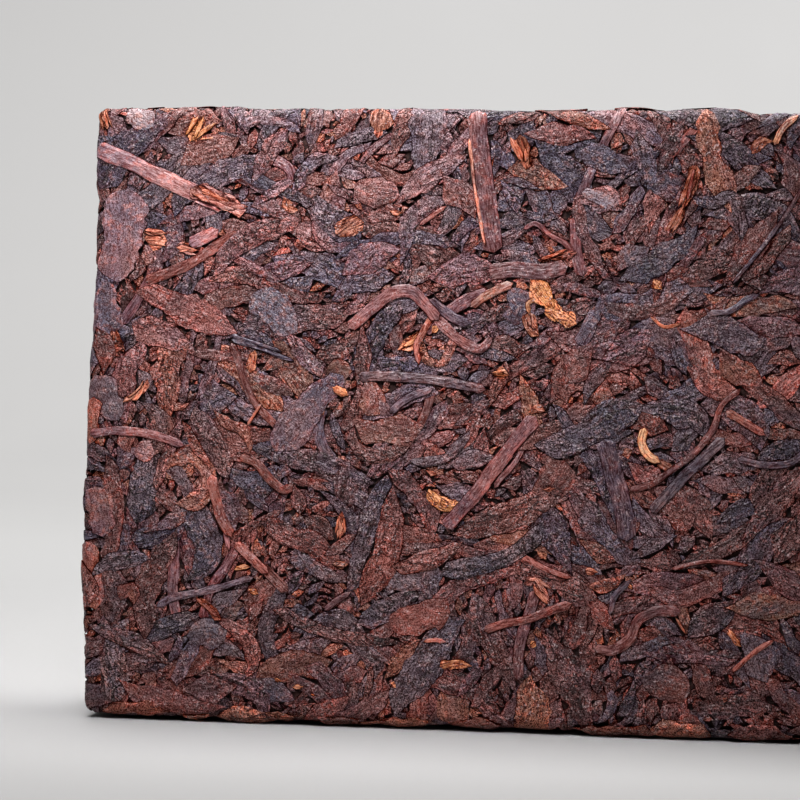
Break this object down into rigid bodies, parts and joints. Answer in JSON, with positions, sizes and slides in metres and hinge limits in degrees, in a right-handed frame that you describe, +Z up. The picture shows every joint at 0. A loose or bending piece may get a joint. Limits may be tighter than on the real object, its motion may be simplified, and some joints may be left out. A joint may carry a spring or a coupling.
{
  "type": "pu erh tea brick",
  "caption": "Rectangular brick of dark pressed tea leaves with low leaf relief and rounded edges, standing on one long narrow side.",
  "frame": {"origin": "middle of the brick's base, on the surface that it stands on", "axes": "+X along the brick's length, +Y through its thickness from the front face to the back, +Z up its height"},
  "size_m": [0.14, 0.024, 0.09],
  "materials": {
    "pressed_leaf": "dark brown pressed tea leaves with a dull sheen",
    "stem": "red-brown woody stems",
    "golden_tip": "dry golden leaf tips"
  },
  "bodies": {
    "root": {"tea_brick": "pressed_leaf"}
  },
  "joints": []
}
